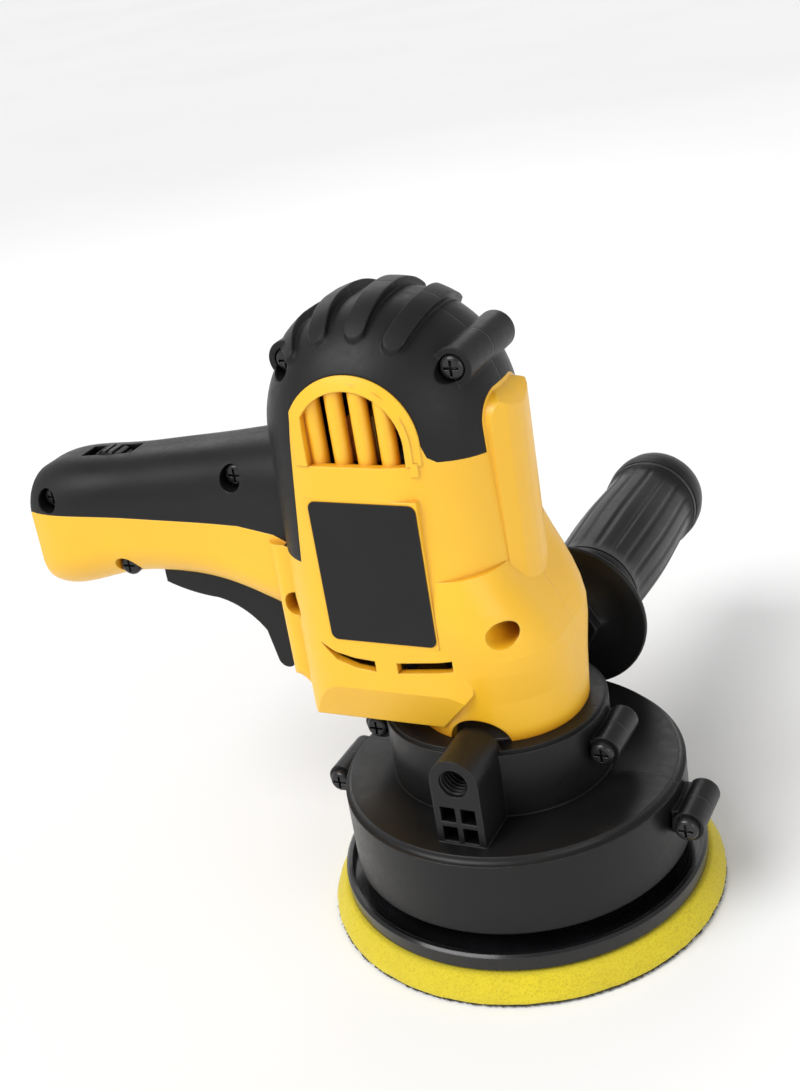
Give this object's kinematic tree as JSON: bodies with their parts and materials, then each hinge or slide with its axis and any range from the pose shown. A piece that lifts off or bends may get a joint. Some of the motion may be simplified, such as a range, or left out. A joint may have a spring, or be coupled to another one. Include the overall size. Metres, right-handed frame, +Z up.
{
  "type": "rotary polisher",
  "caption": "Compact electric rotary polisher with a round hook-and-loop foam pad, geared head, rear trigger handle and screw-in side handle.",
  "frame": {"origin": "centre of the pad's working face", "axes": "+Z up the spindle away from the work, -X along the rear handle, +Y along the side handle"},
  "size_m": [0.2195, 0.2225, 0.1976],
  "materials": {
    "yellow_plastic": "satin moulded nylon",
    "black_plastic": "satin moulded nylon",
    "black_cover": "soft-touch overmould",
    "gloss_black": "glossy moulded disc",
    "foam": "closed-cell foam",
    "hook_fabric": "hook-and-loop backing",
    "steel": "turned steel",
    "bearing_steel": "ground steel",
    "zinc": "die-cast",
    "screw_black": "black oxide",
    "copper": "enamelled winding wire",
    "lamination": "stacked laminations",
    "brass": "stamped",
    "carbon": "graphite",
    "fan_plastic": "moulded",
    "case_plastic": "moulded",
    "label": "printed film, plain",
    "grommet": "soft rubber"
  },
  "bodies": {
    "casing": {"spindle_bearing_outer_rings": "bearing_steel", "motor_bearing_outer_rings": "bearing_steel", "gear_housing_front": "black_plastic", "gear_housing_back": "black_plastic", "bearing_bridge": "zinc", "grip_cover_front": "black_cover", "grip_cover_back": "black_cover", "body_shell_front": "yellow_plastic", "body_shell_back": "yellow_plastic", "stator_core": "lamination", "field_coils": "copper", "brush_plate": "case_plastic", "brush_holders": "brass", "carbon_brushes": "carbon", "brush_springs": "steel", "trigger_spring": "steel", "power_switch": "case_plastic", "suppression_capacitor": "case_plastic", "speed_control": "case_plastic", "cord_gland": "grommet", "side_handle_grip": "black_plastic", "side_handle_stud": "steel", "label": "label", "body_screws": "screw_black", "housing_screws": "screw_black"},
    "pad_and_spindle": {"hook_loop_disc": "hook_fabric", "foam_pad": "foam", "backing_plate": "gloss_black", "plate_hub_insert": "steel", "spindle": "steel", "spindle_key": "steel", "retaining_ring": "steel", "spindle_gear": "steel", "spindle_bearing_inner_rings": "bearing_steel"},
    "spindle_ball_set": {"spindle_bearing_balls": "bearing_steel"},
    "armature": {"armature_shaft": "steel", "armature_core": "lamination", "armature_windings": "copper", "commutator": "copper", "cooling_fan": "fan_plastic", "motor_pinion": "steel", "motor_bearing_inner_rings": "bearing_steel"},
    "motor_ball_set": {"motor_bearing_balls": "bearing_steel"},
    "trigger": {"trigger": "black_plastic"},
    "lock_button": {"lock_button": "black_plastic"},
    "speed_wheel": {"speed_wheel": "black_plastic"}
  },
  "joints": [
    {"name": "pad_spin", "type": "hinge", "parent": "casing", "child": "pad_and_spindle", "pos_m": [0, 0, 0], "axis": [0, 0, 1], "continuous": true},
    {"name": "spindle_ball_orbit", "type": "hinge", "parent": "casing", "child": "spindle_ball_set", "pos_m": [0, 0, 0], "axis": [0, 0, 1], "continuous": true},
    {"name": "armature_spin", "type": "hinge", "parent": "casing", "child": "armature", "pos_m": [-0.02, 0, 0], "axis": [0, 0, 1], "continuous": true},
    {"name": "motor_ball_orbit", "type": "hinge", "parent": "casing", "child": "motor_ball_set", "pos_m": [-0.02, 0, 0], "axis": [0, 0, 1], "continuous": true},
    {"name": "trigger_pull", "type": "slide", "parent": "casing", "child": "trigger", "axis": [0, 0, 1], "range_m": [0, 0.006], "stiffness_N_per_m": 600, "springref_m": -0.002, "deforming": ["trigger_spring"]},
    {"name": "lock_push", "type": "slide", "parent": "casing", "child": "lock_button", "axis": [0, -1, 0], "range_m": [0, 0.003], "stiffness_N_per_m": 400, "springref_m": -0.001},
    {"name": "speed_turn", "type": "hinge", "parent": "casing", "child": "speed_wheel", "pos_m": [-0.126, 0, 0.1344], "axis": [0, 1, 0], "range_deg": [-150, 150]}
  ],
  "couplings": [
    {"joint": "armature_spin", "follows": "pad_spin", "ratio": -4.5556},
    {"joint": "spindle_ball_orbit", "follows": "pad_spin", "ratio": 0.39},
    {"joint": "motor_ball_orbit", "follows": "pad_spin", "ratio": -1.727}
  ]
}
